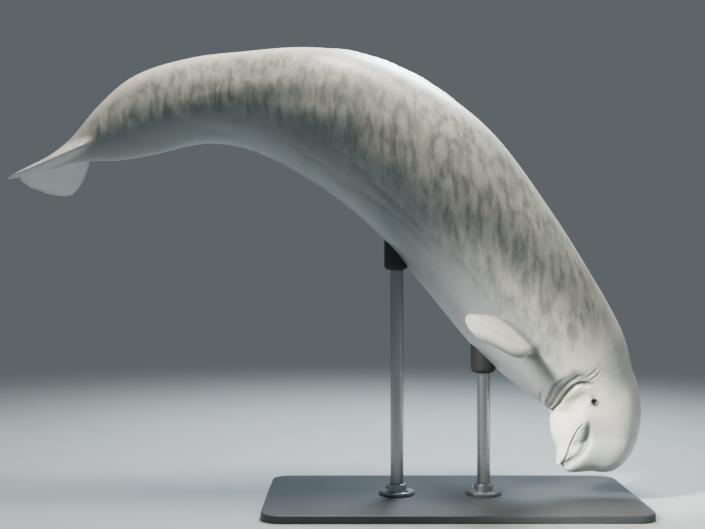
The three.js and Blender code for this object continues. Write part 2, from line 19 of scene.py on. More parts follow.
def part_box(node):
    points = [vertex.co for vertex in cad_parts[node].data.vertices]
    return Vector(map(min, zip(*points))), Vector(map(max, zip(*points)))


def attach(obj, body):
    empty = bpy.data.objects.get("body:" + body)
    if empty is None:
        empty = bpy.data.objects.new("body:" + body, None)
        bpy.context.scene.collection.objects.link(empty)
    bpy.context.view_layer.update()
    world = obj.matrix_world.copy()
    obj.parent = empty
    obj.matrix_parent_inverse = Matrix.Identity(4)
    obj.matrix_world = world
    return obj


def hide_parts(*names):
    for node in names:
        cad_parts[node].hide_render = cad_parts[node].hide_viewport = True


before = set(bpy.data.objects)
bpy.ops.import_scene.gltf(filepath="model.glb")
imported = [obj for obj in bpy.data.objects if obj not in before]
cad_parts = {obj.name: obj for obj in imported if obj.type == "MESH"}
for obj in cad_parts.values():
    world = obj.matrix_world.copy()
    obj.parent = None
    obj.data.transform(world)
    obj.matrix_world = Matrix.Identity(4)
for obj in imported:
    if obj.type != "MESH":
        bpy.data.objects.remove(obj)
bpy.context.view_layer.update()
bpy.ops.object.select_all(action="DESELECT")
print("CAD nodes:", len(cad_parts))

# %% [markdown]
# The straight whale
#
# It is hard to model an animal in the middle of a dive. So the body is first described straight,
# as points (u, y, w): u is the distance back from the tip of the beak, y is to the whale's left
# and w is towards its back. A smooth curve through a few named points gives each measure along
# the body, and one function bends the finished skin into the dive at the very end.

# %% Curves through a few points
MM = 0.001
LENGTH = 3.87  # from the tip of the beak to the rear edge of the flukes, along the backbone


def profile(points):
    """A smooth curve through a few points, as a function of their first number."""
    xs, ys = np.array(points, float).T
    count = np.arange(len(xs))
    before, after = np.maximum(count - 1, 0), np.minimum(count + 1, len(xs) - 1)
    slope = (ys[after] - ys[before]) / (xs[after] - xs[before])

    def value(x):
        x = np.clip(x, xs[0], xs[-1])
        i = np.clip(np.searchsorted(xs, x, side="right") - 1, 0, len(xs) - 2)
        step = xs[i + 1] - xs[i]
        t = (x - xs[i]) / step
        rise = ys[i + 1] - ys[i]
        bend = step * (slope[i] * (1 - t) - slope[i + 1] * t) + rise * (2 * t - 1)
        return ys[i] + rise * t + t * (1 - t) * bend

    return value


def smoothstep(x, low, high):
    t = np.clip((x - low) / (high - low), 0, 1)
    return t * t * (3 - 2 * t)


def bump(x, width):
    """A soft bell, 1 in the middle and almost 0 at twice its width."""
    return np.exp(-((x / width) ** 2))


# %% [markdown]
# The pose
#
# The same driving values as in the CAD part: how steeply the backbone points at each fraction of
# the length, how far the head turns and how far the tail rolls. Summing up many short steps gives
# the backbone's line. The stand's base tells where the part's origin lies.

# %% The backbone in the dive
SNOUT = (1.215, 0.153)  # where the backbone's line leaves the front of the head
BASE_MIDDLE = 0.61  # the middle of the stand's base, measured as the snout is
HEADING = profile([
    (0, -109), (0.06, -103), (0.103, -74), (0.145, -53.5), (0.2, -55), (0.3, -54), (0.4, -45),
    (0.5, -35), (0.6, -17.5), (0.7, -1), (0.78, 14), (0.86, 24), (0.93, 27.5), (1, 22),
])
TURN = profile([(0, 9), (0.07, 8), (0.13, 3), (0.2, 0)])
ROLL = profile([(0.6, 0), (0.8, 2), (1, 3.2)])
STEPS = 600


def directions(s):
    """Forward, left and up of the whale at fractions of its length."""
    pitch, swing, lean = (np.radians(f(np.asarray(s, float))) for f in (HEADING, TURN, ROLL))
    flat = np.zeros_like(pitch)
    level = np.stack([np.cos(pitch), flat, np.sin(pitch)], -1)
    across = np.stack([flat, flat + 1, flat], -1)
    steep = np.stack([-np.sin(pitch), flat, np.cos(pitch)], -1)

    def mix(p, q, angle):
        return p * np.cos(angle)[..., None] + q * np.sin(angle)[..., None]

    left = mix(across, level, swing)
    return mix(level, across, -swing), mix(left, steep, -lean), mix(steep, left, lean)


base_low, base_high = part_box("stand_base")
origin = Vector(((base_low.x + base_high.x) / 2 - BASE_MIDDLE, (base_low.y + base_high.y) / 2, 0))
step_ways = directions((np.arange(STEPS) + 0.5) / STEPS)[0]
backbone = np.vstack([np.zeros(3), np.cumsum(-step_ways * LENGTH / STEPS, axis=0)])
backbone += (SNOUT[0] + origin.x, origin.y - backbone[-1, 1], SNOUT[1])


def place(points):
    """Points of the straight whale, laid along the backbone."""
    u, y, w = np.asarray(points, float).T
    along = np.clip(u, 0, LENGTH)
    at = along / LENGTH * STEPS
    i = np.minimum(at.astype(int), STEPS - 1)
    line = backbone[i] + (backbone[i + 1] - backbone[i]) * (at - i)[:, None]
    forward, left, up = directions(along / LENGTH)
    return line + forward * (along - u)[:, None] + left * y[:, None] + up * w[:, None]


print("origin of the part:", [round(c, 4) for c in origin])

# %% [markdown]
# The body's form
#
# The trunk is an oval tube with three curves for its back, belly and sides. The head is a group of
# soft lobes, as a sculptor would build it from balls of clay: melon, beak, skull, throat and
# cheeks. Each lobe is given as a distance function, which is negative inside and positive outside,
# and neighbours are blended with a fillet.

# %% Lobes and trunk
# Shares of the length: how far back, then from the backbone to the back, belly and sides
SECTIONS = np.array([
    (0.06, 0.043, 0.048, 0.043), (0.1, 0.053, 0.0605, 0.05), (0.15, 0.072, 0.0705, 0.068),
    (0.226, 0.081, 0.0895, 0.081), (0.33, 0.086, 0.097, 0.087), (0.436, 0.096, 0.093, 0.086),
    (0.58, 0.085, 0.083, 0.07), (0.69, 0.062, 0.06, 0.047), (0.75, 0.0575, 0.052, 0.037),
    (0.82, 0.053, 0.049, 0.027), (0.87, 0.0355, 0.039, 0.019), (0.92, 0.0132, 0.0175, 0.012),
    (0.985, 0.0015, 0.0015, 0.0015),
])
BACK, BELLY, HALF_WIDTH = (profile(SECTIONS[:, [0, k]]) for k in (1, 2, 3))
# Lobes, in millimetres: centre, half sizes and fillet, then the lean forward for each step down
FOREHEAD = [
    ((244, 0, 90), (208, 150, 134), 60, 0),  # melon
    ((117, 0, -12), (118, 112, 92), 90, 0.5),  # front of the melon
]
BEAK = [
    ((228, 0, -84), (152, 126, 110), 30, 0),  # beak
    ((88, 0, -82), (84, 76, 45), 30, 0),  # its tip
    ((18, 0, -102), (20, 34, 12), 12, 0),  # lower lip
]
SKULL = [
    ((350, 0, 20), (222, 184, 184), 60, 0),  # skull
    ((385, 0, -85), (150, 135, 145), 30, 0),  # throat
    ((290, 0, -78), (170, 172, 94), 50, 0),  # cheeks
]
CREASE, BROW = 0.016, 0.07  # fillets where the melon meets the beak and the skull
BEAK_ROOT, MELON_BACK = 0.12, 0.34
TRUNK_START, TRUNK_ROUND = 0.26, 0.19
HEAD_REACH = 0.84  # the lobes of the head act ahead of this
OVAL, KEEL = 2.15, 0.4  # how full the trunk's section is, and how much less so at the tail's keel
KEEL_FROM, KEEL_TO = 0.6, 0.85
FAR = 9.0  # a distance that is longer than any on the whale


def fillet(a, b, size):
    h = np.maximum(size - np.abs(a - b), 0) / size
    return np.minimum(a, b) - h * h * size * 0.25


def ellipsoid(p, centre, half, lean):
    centre, half = np.array(centre) * MM, np.array(half) * MM
    d = p - centre
    d[:, 0] -= lean * d[:, 2]
    k0 = np.linalg.norm(d / half, axis=1)
    k1 = np.maximum(np.linalg.norm(d / half**2, axis=1), 1e-9)
    return k0 * (k0 - 1) / k1


def trunk(p):
    u, y, w = p.T
    s = u / LENGTH
    high = np.where(w > 0, BACK(s), BELLY(s)) * LENGTH
    wide = HALF_WIDTH(s) * LENGTH
    power = OVAL - KEEL * smoothstep(s, KEEL_FROM, KEEL_TO)
    oval = ((np.abs(y) / wide) ** power + (np.abs(w) / high) ** power) ** (1 / power)
    front = np.maximum(TRUNK_START + TRUNK_ROUND - u, 0) / TRUNK_ROUND
    return (np.hypot(oval, front) - 1) * np.minimum(high, wide)


def body(p):
    """Distance from the straight whale's skin, without its fins: negative inside."""
    distance = trunk(p)
    head = p[:, 0] < HEAD_REACH
    q = p[head]
    skull = distance[head]
    for centre, half, soft, lean in SKULL + BEAK:
        skull = fillet(skull, ellipsoid(q, centre, half, lean), soft * MM)
    melon = np.full(len(q), FAR)
    for centre, half, soft, lean in FOREHEAD:
        melon = fillet(melon, ellipsoid(q, centre, half, lean), soft * MM)
    soft = CREASE + (BROW - CREASE) * smoothstep(q[:, 0], BEAK_ROOT, MELON_BACK)
    distance[head] = fillet(skull, melon, soft)
    return distance


def reach(start, way, far=0.62, strides=31, halvings=16):
    """Where rays from points inside meet the skin: long strides, then halvings."""
    low = np.zeros(len(start))
    high = np.full(len(start), far)
    open_rays = np.ones(len(start), bool)
    for k in range(1, strides + 1):
        r = far * k / strides
        outside = body(start + way * r) > 0
        high[open_rays & outside] = r
        low[open_rays & ~outside] = r
        open_rays &= ~outside
    for _ in range(halvings):
        middle = (low + high) / 2
        inside = body(start + way * middle[:, None]) < 0
        low, high = np.where(inside, middle, low), np.where(inside, high, middle)
    return start + way * ((low + high) / 2)[:, None]


# %% [markdown]
# From a ball to a whale
#
# The skin could be sculpted by hand, or remeshed from the CAD solids, but their flat facets would
# show through. Here it starts as a UV sphere with its poles at the beak and at the tail. Every
# ring of the sphere becomes a ring round the body, and every corner is pulled along a ray until it
# meets the form. Then the places with fine detail are subdivided, and pulled on again.

# %% Helpers for meshes
def corners(obj):
    co = np.empty(len(obj.data.vertices) * 3)
    obj.data.vertices.foreach_get("co", co)
    return co.reshape(-1, 3)


def set_corners(obj, points):
    obj.data.vertices.foreach_set("co", np.asarray(points, float).ravel())
    obj.data.update()


def only(obj):
    """Makes obj the active object and the only selected one."""
    bpy.ops.object.select_all(action="DESELECT")
    bpy.context.view_layer.objects.active = obj
    obj.select_set(True)
    return obj


def faces_out(obj):
    """Turns the faces of a closed piece so that they point outwards."""
    only(obj)
    bpy.ops.object.mode_set(mode="EDIT")
    bpy.ops.mesh.select_all(action="SELECT")
    bpy.ops.mesh.normals_make_consistent(inside=False)
    bpy.ops.object.mode_set(mode="OBJECT")


def apply(obj, kind, **settings):
    only(obj)
    modifier = obj.modifiers.new(kind.title(), kind)
    for name, value in settings.items():
        setattr(modifier, name, value)
    bpy.ops.object.modifier_apply(modifier=modifier.name)


def pick(obj, kind, chosen):
    """Enters edit mode with only the chosen corners, edges or faces selected."""
    only(obj)
    bpy.ops.object.mode_set(mode="EDIT")
    bpy.ops.mesh.select_mode(type=kind)
    bpy.ops.mesh.select_all(action="DESELECT")
    bpy.ops.object.mode_set(mode="OBJECT")
    mesh = obj.data
    found = {"VERT": mesh.vertices, "EDGE": mesh.edges, "FACE": mesh.polygons}[kind]
    found.foreach_set("select", chosen)
    bpy.ops.object.mode_set(mode="EDIT")


def subdivide(obj, chosen):
    """Splits the faces whose middle is chosen, once each way."""
    middles = np.empty(len(obj.data.polygons) * 3)
    obj.data.polygons.foreach_get("center", middles)
    split = chosen(middles.reshape(-1, 3))
    pick(obj, "FACE", split)
    bpy.ops.mesh.subdivide(number_cuts=1, ngon=False)
    bpy.ops.object.mode_set(mode="OBJECT")
    print(f"{obj.name}: {int(split.sum())} faces split, {len(obj.data.polygons)} now")


def ball(name, segments, rings):
    """A UV sphere, with each corner's ring (0 to 1 from pole to pole) and angle round it."""
    bpy.ops.mesh.primitive_uv_sphere_add(segments=segments, ring_count=rings, radius=1)
    obj = bpy.context.object
    obj.name = obj.data.name = name
    x, y, z = corners(obj).T
    return obj, np.arccos(np.clip(z, -1, 1)) / math.pi, np.arctan2(y, x)


# %% The rings of the body
HEAD_CENTRE = np.array((0.215, 0, -0.005))
AROUND = 112
CAP_RINGS, HEAD_RINGS, TRUNK_RINGS = 36, 46, 196
HEAD_BACK = 0.62
TRUNK_END = 0.985 * LENGTH  # inside the flukes, ahead of the notch between them
RINGS = CAP_RINGS + HEAD_RINGS + TRUNK_RINGS

skin, ring_share, angle = ball("skin", AROUND, RINGS)
ring = ring_share * RINGS
lean = np.minimum(ring / CAP_RINGS, 1) * math.pi / 2
round_way = np.stack([np.zeros_like(angle), np.cos(angle), np.sin(angle)], -1)
way = round_way * np.sin(lean)[:, None]
way[:, 0] -= np.cos(lean)
in_cap = ring < CAP_RINGS
station = np.interp(ring, [CAP_RINGS, CAP_RINGS + HEAD_RINGS, RINGS],
                    [HEAD_CENTRE[0], HEAD_BACK, TRUNK_END])
start = np.stack([station, np.zeros_like(station), np.where(in_cap, HEAD_CENTRE[2], 0)], -1)
set_corners(skin, reach(start, way))
tail_pole = int(np.argmax(ring_share))
print("skin:", len(skin.data.polygons), "faces at first")


def pull(obj):
    """Pulls every corner of the head and trunk onto the form, along its own ray."""
    p = corners(obj)
    start = np.zeros_like(p)
    front = p[:, 0] < HEAD_CENTRE[0]
    start[:, 0] = np.where(front, HEAD_CENTRE[0], p[:, 0])
    start[:, 2] = np.where(front, HEAD_CENTRE[2], 0)
    way = p - start
    way /= np.maximum(np.linalg.norm(way, axis=1), 1e-9)[:, None]
    set_corners(obj, reach(start, way))


# %% Finer mesh where the detail is
EYE = (0.357, -0.032)  # distance back and height of the eyes
MOUTH_CORNER = 0.222
MOUTH = profile([
    (-0.04, -0.102), (0, -0.1), (0.05, -0.096), (0.11, -0.096), (0.16, -0.096), (0.195, -0.091),
    (0.222, -0.079),
])
BLOWHOLE = 0.405  # distance back of the crescent's middle
CRESCENT = 0.036  # its radius
FLIPPER_ROOT, FLIPPER_ROOM = (0.8, -0.15), 0.2
# How far round an eye, the lips and the blowhole each finer step reaches
FINER = [(0.055, 0.022, 0.03), (0.027, 0.008, 0.007)]


def near_eye(p, size):
    return np.hypot(p[:, 0] - EYE[0], p[:, 2] - EYE[1]) < size


def near_lips(p, size):
    return (np.abs(p[:, 2] - MOUTH(p[:, 0])) < size) & (p[:, 0] < MOUTH_CORNER + 2 * size)


def near_blowhole(p, size):
    r = np.hypot(p[:, 0] - BLOWHOLE + CRESCENT, p[:, 1])
    return (r < CRESCENT + size) & (p[:, 2] > 0.1)


def near_flipper(p, size):
    return np.hypot(p[:, 0] - FLIPPER_ROOT[0], p[:, 2] - FLIPPER_ROOT[1]) < size


pull(skin)
subdivide(skin, lambda p: (p[:, 0] < HEAD_BACK - 0.01) | near_flipper(p, FLIPPER_ROOM))
for eye_room, lip_room, hole_room in FINER:
    subdivide(skin, lambda p: near_eye(p, eye_room) | near_lips(p, lip_room)
              | near_blowhole(p, hole_room))
pull(skin)
pulled = corners(skin)
pulled[tail_pole] = (TRUNK_END, 0, 0)
set_corners(skin, pulled)

# %% [markdown]
# Folds, ridge and lips
#
# A diving beluga bends its neck, and the skin behind the jaw gathers in folds. Along its back it
# has a low, firm ridge in place of a fin. All this is relief: a height over the smooth form, which
# moves each corner in or out. A crease is a sharp valley between two soft rolls.

# %% The relief of the skin
MELON_EDGE = profile([  # height of the crease between melon and beak, at each distance back
    (0, -93), (22, -86), (45, -68), (75, -51), (107, -41), (167, -40), (228, -52), (262, -60),
])
JAW_FOLD = profile([  # distance back of the fold behind the jaw, at each angle up from the side
    (-90, 262), (-75, 312), (-58, 378), (-38, 457), (-24, 488), (-16, 487), (-8, 466), (4, 436),
])
JAW_RADIUS = 220  # half the width of the body there
FOLD = (13, 13)  # depth and width of that fold
# Wrinkles behind that fold: how far behind, depth, width, and the angles where they end
WRINKLES = [
    (34, 4.5, 9, -80, -4),
    (72, 3.5, 10, -85, -20),
    (118, 2.5, 12, -85, -45),
]
# Short folds over its upper end: distance back, depth and width
LUMPS = [(478, 5, 6), (500, 4.5, 7)]
# Soft rolls and valleys, in millimetres: height, place and width
MELON_ROLLS = [(3, 34, 20), (-13, 0, 14)]
NECK_ROLLS = [(6, -42, 26), (-9, 34, 34)]
LIP_ROLLS = [(3, 9, 5.5), (3.6, -9, 6), (-9, 0, 2.6)]


def crease(x, depth, width):
    """A fold across x: a narrow valley between two soft rolls."""
    valley = 0.6 * bump(x, 0.4 * width) + 0.4 * bump(x, width)
    rolls = bump(np.abs(x) - 1.6 * width, 0.8 * width)
    return depth * (0.3 * rolls - valley)


def rolling(x, rolls):
    return sum(high * bump(x - place_at, width) for high, place_at, width in rolls)


# %% Melon and neck
def melon_relief(p):
    """Deepens the crease between the melon and the beak."""
    u, _, w = (p / MM).T
    fade = 1 - smoothstep(u, 170, 262)
    return rolling(w - MELON_EDGE(u), MELON_ROLLS) * fade * MM


def neck_relief(p):
    """The fold behind the jaw, the wrinkles behind it and the lumps over it."""
    u, y, w = (p / MM).T
    around = np.degrees(np.arctan2(w, np.abs(y)))
    slope = np.degrees(JAW_FOLD(around + 1) - JAW_FOLD(around - 1)) / 2 / JAW_RADIUS
    behind = (u - JAW_FOLD(around)) / np.hypot(1, slope)
    fade = 1 - smoothstep(around, -14, 4)
    height = crease(behind, *FOLD) * fade
    height += rolling(behind, NECK_ROLLS) * fade
    wander = 3 * np.sin(around * 0.2) + 2 * np.sin(y * 0.06)
    for back, depth, width, low, high in WRINKLES:
        ends = smoothstep(around, low - 5, low + 12) * (1 - smoothstep(around, high - 14, high))
        height += crease(behind - back + wander, depth, width) * ends
    for back, depth, width in LUMPS:
        height += crease(u - back + wander - 0.3 * w, depth, width) * bump(around - 2, 7)
    return height * MM


# %% Back, flanks and belly
RIDGE_FROM, RIDGE_TO, RIDGE_HIGH, RIDGE_HALF = 0.46, 0.615, 0.017, 0.034
SWELL = 2.2 * MM  # height of the swells of the blubber
# Folds: angle up from the side, depth, and the shares of the length where they start and end
FLANK_FOLDS = [(-0.62, 5, 0.25, 0.6), (-0.86, 4, 0.3, 0.66)]
FOLD_WIDE, SLIT_WIDE = 16, 9
# Navel and slits: share of the length, half length and depth
BELLY_SLITS = [(0.5, 0.02, 5), (0.655, 0.07, 7), (0.703, 0.018, 5)]


def ridge_relief(p):
    """The ridge along the back, with shallow notches in its edge."""
    u, y, w = p.T
    t = np.clip((u / LENGTH - RIDGE_FROM) / (RIDGE_TO - RIDGE_FROM), 0, 1)
    full = np.sqrt(np.sin(math.pi * t))
    across = np.clip(np.abs(y) / (RIDGE_HALF * (0.3 + 0.7 * full)), 0, 1)
    notches = 1 + 0.12 * np.sin(u * 105) * np.sin(u * 61)
    return np.where(w > 0, RIDGE_HIGH * full * notches * np.cos(across * math.pi / 2) ** 2, 0)


def flank_relief(p):
    """Soft swells of the blubber, and two long folds low on each flank."""
    u, y, w = p.T
    s = u / LENGTH
    round_angle = np.arctan2(w, np.abs(y))
    swell = np.sin(u * 7 + 2 * np.sin(round_angle * 3)) * np.sin(round_angle * 4 + u * 3)
    height = SWELL * swell * smoothstep(s, 0.14, 0.24) * (1 - smoothstep(s, 0.7, 0.85))
    for level, depth, first, last in FLANK_FOLDS:
        low = np.radians(4) * np.sin(u * 6 + level * 9)
        arc = (round_angle - level - low) * HALF_WIDTH(s) * LENGTH / MM
        fade = smoothstep(s, first, first + 0.08) * (1 - smoothstep(s, last - 0.1, last))
        height += crease(arc, depth, FOLD_WIDE) * fade * MM
    return height


def belly_relief(p):
    """The navel and the slits on the middle line of the belly."""
    u, y, w = p.T
    height = np.zeros_like(u)
    for middle, half, depth in BELLY_SLITS:
        along = np.clip(1 - np.abs(u - middle * LENGTH) / half, 0, 1)
        height += crease(y / MM, depth, SLIT_WIDE) * np.sqrt(along) * MM
    return np.where(w < 0, height, 0)


# %% Lips and blowhole
def lip_relief(p):
    """Two lips with a groove between them, and the cheek round the corner of the mouth."""
    u, _, w = (p / MM).T
    fade = 1 - smoothstep(u, 208, 234)
    lips = rolling(w - MOUTH(p[:, 0]) / MM, LIP_ROLLS) * fade
    cheek = 6 * bump(np.hypot(u - 236, w + 80), 22) + 5 * bump(u - 155, 34) * bump(w + 70, 14)
    return (lips + cheek) * MM


def blowhole_relief(p):
    """A crescent slit round a soft plug, with a rim behind it."""
    u, y, w = (p / MM).T
    forward = u - (BLOWHOLE - CRESCENT) / MM
    r = np.hypot(forward, y)
    turn = np.arctan2(y, forward)
    half = 3.6 * np.cos(np.clip(turn * 0.95, -1.5, 1.5)) + 0.4
    ends = 1 - smoothstep(np.abs(turn), 1.25, 1.5)
    from_slit = r - CRESCENT / MM
    slit = 15 * bump(from_slit, half) * ends
    plug = 6 * bump(r, 25)
    rim = 4 * bump(from_slit - 9, 6) * ends
    return np.where(w > 100, plug + rim - slit, 0) * MM


# %% Raise the relief
def relief(p):
    parts = (melon_relief, neck_relief, ridge_relief, flank_relief, belly_relief, lip_relief,
             blowhole_relief)
    return sum(part(p) for part in parts)


def outward(p, step=0.002):
    """The way out of the form at each point, from how its distance changes."""
    change = [body(p + e) - body(p - e) for e in np.eye(3) * step]
    way = np.stack(change, -1)
    return way / np.maximum(np.linalg.norm(way, axis=1), 1e-9)[:, None]


smooth_form = corners(skin)
height = relief(smooth_form)
raised = smooth_form + outward(smooth_form) * height[:, None]
print("relief from", round(height.min(), 4), "to", round(height.max(), 4))

# %% [markdown]
# Eyes and lids
#
# A beluga's eye is small and lies deep in the side of the head between two thick lids. The
# eyeballs are pieces of their own. Here the skin first bulges round each eyeball, then it is
# pressed in below the eyeball's surface inside the slit between the lids.

# %% Lids round the eyeballs
EYE_RADIUS = 0.023
LID = 0.0045  # thickness of the lids over the eyeball
LID_ROOM, LID_FILLET = 0.08, 0.012  # how far the lids reach, and the fillet into the head
SLIT_HALF_LONG, SLIT_HALF_HIGH, SLIT_EDGE = 0.0165, 0.0115, 0.0012
SUNK = EYE_RADIUS * 0.9  # where the skin lies inside the slit
EYE_SIDE = 0.17  # roughly how far the eyes are from the middle, to start the search


def straighten(target, guess, rounds=8, nudge=1e-4):
    """The point of the straight whale that place() lays on target."""
    guess = np.array(guess, float)
    for _ in range(rounds):
        base = place(guess[None])[0]
        slopes = (place(guess + np.eye(3) * nudge) - base) / nudge
        guess += np.linalg.solve(slopes.T, np.array(target) - base)
    return guess


eye_spots = {}
for side_name, side in (("left", 1), ("right", -1)):
    low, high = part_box("eye_" + side_name)
    eye_spots[side_name] = straighten((low + high) / 2, (EYE[0], side * EYE_SIDE, EYE[1]))


def slit_edge(e):
    """How far over, and how far out of, the slit between the lids points round an eyeball lie."""
    a, b = (e / np.linalg.norm(e, axis=1)[:, None] * (EYE_RADIUS + LID))[:, [0, 2]].T
    half = SLIT_HALF_HIGH * np.clip(1 - (a / SLIT_HALF_LONG) ** 2, 0, 1) ** 0.75
    return a, np.abs(b) - half


def round_eye(p, centre):
    """Lays the skin round one eyeball, with an open slit between the lids."""
    near = np.linalg.norm(p - centre, axis=1) < LID_ROOM
    near &= np.sign(p[:, 1]) == np.sign(centre[1])
    e = p[near] - centre
    rho = np.linalg.norm(e, axis=1)
    dome = EYE_RADIUS + LID
    raised_rho = -fillet(-rho, np.full_like(rho, -dome), LID_FILLET)
    a, from_edge = slit_edge(e)
    out_of_slit = smoothstep(from_edge, -SLIT_EDGE, SLIT_EDGE) + (np.abs(a) > SLIT_HALF_LONG)
    fold = crease((from_edge - 0.0075) / MM, 1.6, 3) * bump(a, 0.024) * MM
    lidded = raised_rho + np.clip(out_of_slit, 0, 1) * fold
    final = np.where(out_of_slit >= 1, lidded, SUNK + (lidded - SUNK) * out_of_slit)
    p[near] = centre + e / rho[:, None] * final[:, None]
    return p


for centre in eye_spots.values():
    raised = round_eye(raised, centre)
set_corners(skin, raised)

# %% [markdown]
# Fins
#
# A flipper is a broad paddle with a thick front edge and, in a grown whale, a tip that curls up.
# The flukes are two lobes with a notch between them and a rear edge that bulges past it. Each
# starts as a sphere too: its rings become sections across the fin, from inside the body to the
# tip. Real flippers show faint ridges where the finger bones lie, so these do too.

# %% Flippers
FLIPPER_LONG, FLIPPER_WIDE, FLIPPER_THICK, FLIPPER_CURL = 0.49, 0.204, 0.049, 0.013
FLIPPER_AT, FLIPPER_LEVEL, FLIPPER_INSET = 0.1954, -0.4, 0.058
# How much each flipper points back, down and out: 1 is the left one, -1 the right one
FLIPPER_WAY = {1: (245, 152, 322), -1: (276, 180, 275)}
FLIPPER_TWIST = math.radians(51)
flipper_width = profile([
    (0, 0.38), (0.12, 0.46), (0.28, 0.88), (0.42, 1.06), (0.55, 1), (0.7, 0.86), (0.85, 0.74),
    (0.95, 0.64), (1, 0.6),
])
flipper_thick = profile([(0, 1.15), (0.15, 1), (0.35, 0.8), (0.55, 0.58), (0.8, 0.38), (1, 0.16)])
FLIPPER_TIP, FLUKE_TIP = 0.13, 0.06  # the last part of each fin, which closes in a round tip
EDGE_SINE = 0.15  # on the rim, the angle round a fin's section has a smaller sine than this
FIN_AROUND, FLIPPER_RINGS, FLUKE_RINGS = 56, 46, 52
FINGER_HIGH, EDGE_WAVE, FLUKE_WAVE = 2 * MM, 3 * MM, 2.5 * MM


def unit(v):
    return np.array(v, float) / np.linalg.norm(v)


def along_fin(share):
    """Shares of a fin's length for a sphere's rings, closer together towards the tip."""
    return np.sin(np.clip(share, 0, 1) * math.pi / 2)


def closing(t, tip):
    """Rounds a fin's end off: 1 along the fin and 0 at its very tip."""
    return np.sqrt(np.clip(1 - (np.maximum(t - 1 + tip, 0) / tip) ** 2, 0, 1))


fin_edges = []  # corners along the rims of the fins, for the paint


def make_flipper(name, side):
    piece, share, turn = ball(name, FIN_AROUND, FLIPPER_RINGS)
    level = FLIPPER_LEVEL * BELLY(FLIPPER_AT) * LENGTH
    start = np.array([[FLIPPER_AT * LENGTH, 0, level]])
    root = reach(start, np.array([[0, side, 0]]))[0] - (0, side * FLIPPER_INSET, 0)
    back, down, out = FLIPPER_WAY[side]
    span = unit((back, side * out, -down))
    flat = unit((back, 0, -down))
    lead_level = np.array((flat[2], 0, -flat[0]))
    turned = np.cross(span, lead_level) * side
    lead = lead_level * math.cos(FLIPPER_TWIST) + turned * math.sin(FLIPPER_TWIST)
    up = np.cross(span, lead) * -side
    t = along_fin(share)
    closed = closing(t, FLIPPER_TIP)
    q = flipper_width(t) * FLIPPER_WIDE / 2 * np.cos(turn) * closed
    h = flipper_thick(t) * FLIPPER_THICK / 2 * np.sin(turn) * (1 + 0.4 * np.cos(turn)) * closed
    fingers = FINGER_HIGH * np.sin(np.cos(turn) * 9 + 3 * t) * bump(t - 0.55, 0.3)
    h = h + fingers * np.sin(turn) + FLIPPER_CURL * t**3
    q = q + EDGE_WAVE * np.sin(t * 17) * np.clip(-np.cos(turn), 0, 1) ** 4 * t
    laid = root + np.outer(t * FLIPPER_LONG, span) + np.outer(q, lead) + np.outer(h, up)
    fin_edges.append(laid[(np.abs(np.sin(turn)) < EDGE_SINE) & (t > 0.3)])
    set_corners(piece, laid)
    return piece


# %% Flukes
FLUKE_FROM, FLUKE_SPAN, FLUKE_THICK = 0.89, 0.107, 0.052
FLUKE_DROOP = math.radians(13)
fluke_front = profile([
    (0, -0.1), (0.12, 0.05), (0.3, 0.165), (0.55, 0.32), (0.78, 0.47), (0.92, 0.6), (1, 0.69),
])
fluke_rear = profile([
    (0, 0.965), (0.1, 0.995), (0.3, 0.995), (0.55, 0.945), (0.78, 0.885), (0.92, 0.82),
    (1, 0.77),
])
fluke_thick = profile([(0, 1.4), (0.12, 0.98), (0.4, 0.66), (0.8, 0.35), (1, 0.16)])
FLUKE_OVERLAP = 0.03  # how far each lobe reaches past the middle, as a share of its span


def make_fluke(name, side):
    piece, share, turn = ball(name, FIN_AROUND, FLUKE_RINGS)
    t = along_fin(share) * (1 + FLUKE_OVERLAP) - FLUKE_OVERLAP
    chord = (1 - FLUKE_FROM) * LENGTH
    span = FLUKE_SPAN * LENGTH * t
    front, rear = fluke_front(t) * chord, fluke_rear(t) * chord
    closed = closing(t, FLUKE_TIP)
    middle, half = (front + rear) / 2, (rear - front) / 2 * closed
    ripple = FLUKE_WAVE * np.sin(span * 45 + side) * np.clip(-np.cos(turn), 0, 1) ** 6
    u = FLUKE_FROM * LENGTH + middle - half * np.cos(turn) + ripple * smoothstep(t, 0.1, 0.3)
    thick = fluke_thick(t) * FLUKE_THICK / 2 * closed
    h = thick * np.sin(turn) * (1 + 0.5 * np.cos(turn))
    y = span * math.cos(FLUKE_DROOP) + h * math.sin(FLUKE_DROOP)
    w = -span * math.sin(FLUKE_DROOP) + h * math.cos(FLUKE_DROOP)
    laid = np.stack([u, side * y, w], -1)
    fin_edges.append(laid[(np.abs(np.sin(turn)) < EDGE_SINE) & (t > 0.12)])
    set_corners(piece, laid)
    return piece


fins = [make_flipper("flipper_l", 1), make_flipper("flipper_r", -1)]
fins += [make_fluke("fluke_l", 1), make_fluke("fluke_r", -1)]
for fin in fins:
    faces_out(fin)

# %% [markdown]
# One skin
#
# On the animal the skin runs from the body onto the fins with no edge. A boolean union joins the
# five closed meshes into one. It leaves a hard crease round each root, so the corners near it are
# relaxed: each moves towards the mean of its neighbours, many times, and less the further it is
# from the crease. That leaves a fillet like the muscle at the root of a real fin.

# %% Join the fins to the body
ON_BODY = 0.0008  # a corner nearer to the body's own relief than this belongs to the body
MERGE = 0.0004
MERGE_NEAR = 0.02  # slivers of the union are merged this near to the body, and not at the thin tips
FLIPPER_FILLET, FLUKE_FILLET = 0.03, 0.05  # how far from the crease corners still move
RELAXING = 40
MID_BODY = 2  # distance back: the flippers are ahead of it and the flukes behind it


def distances(points, which, targets):
    """How far each chosen point is from the nearest target, and FAR for the others."""
    tree = kdtree.KDTree(len(targets))
    for k, target in enumerate(targets):
        tree.insert(target, k)
    tree.balance()
    found = np.full(len(points), FAR)
    for k in np.where(which)[0]:
        found[k] = tree.find(points[k])[2]
    return found


